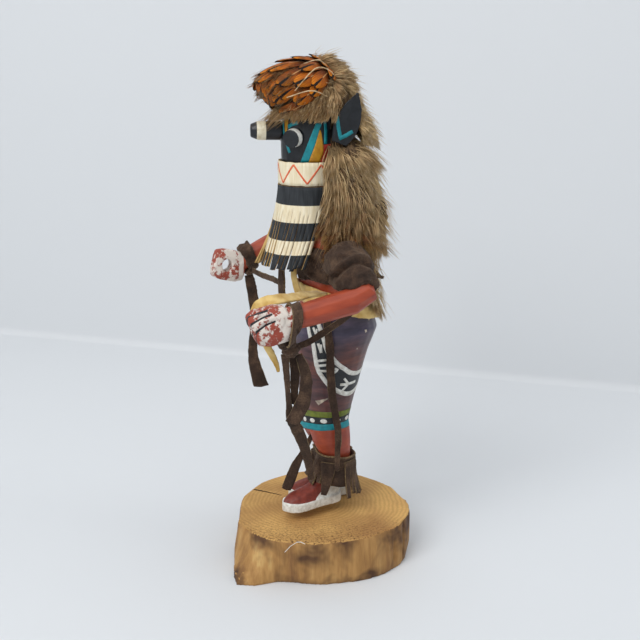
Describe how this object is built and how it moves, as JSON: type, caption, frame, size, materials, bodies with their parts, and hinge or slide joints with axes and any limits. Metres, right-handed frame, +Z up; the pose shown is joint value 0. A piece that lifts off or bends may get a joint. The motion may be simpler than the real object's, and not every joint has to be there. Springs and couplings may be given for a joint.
{
  "type": "carved kachina doll",
  "caption": "Carved and painted wooden dancer doll with a snouted mask, feather crest, fur mantle, rawhide bib and suede thongs, standing on a slice of log.",
  "frame": {"origin": "middle of the log slice's flat underside", "axes": "+Z up; the figure faces -Y and its left side is +X"},
  "size_m": [0.1246, 0.118, 0.3],
  "materials": {
    "bare_wood": "matte",
    "body_paint": "satin paint",
    "shoe_paint": "matte paint",
    "mask_paint": "satin paint",
    "eye_paint": "satin paint",
    "rawhide": "matte, painted in bands",
    "suede": "napped",
    "chamois": "napped",
    "fur": "long hair",
    "feathers": "soft vane"
  },
  "bodies": {
    "root": {"base_slice": "bare_wood", "body_carving": "body_paint", "moccasin_left": "shoe_paint", "moccasin_right": "shoe_paint", "ankle_wrap_left": "suede", "ankle_wrap_right": "suede", "arm_left": "body_paint", "arm_right": "body_paint", "sleeve_left": "suede", "sleeve_right": "suede", "head_mask": "mask_paint", "snout": "mask_paint", "eye_left": "eye_paint", "eye_right": "eye_paint", "ear_left": "mask_paint", "ear_right": "mask_paint", "neck_band": "rawhide", "bib": "rawhide", "feather_crest": "feathers", "fur_cap": "fur", "fur_ruff": "fur", "fur_mantle": "fur", "vest": "suede", "chamois_sash": "chamois", "wrist_tie_left": "suede", "wrist_tie_right": "suede", "belt_thong": "suede", "wrist_tail_broad": "suede", "wrist_tail_inner": "suede", "wrist_tail_long": "suede", "hem_thong": "suede", "hip_thong": "suede", "wrist_tail_right": "suede", "cross_thong": "suede", "chest_thong": "suede", "chamois_strip": "chamois", "chamois_tie": "chamois"}
  },
  "joints": []
}
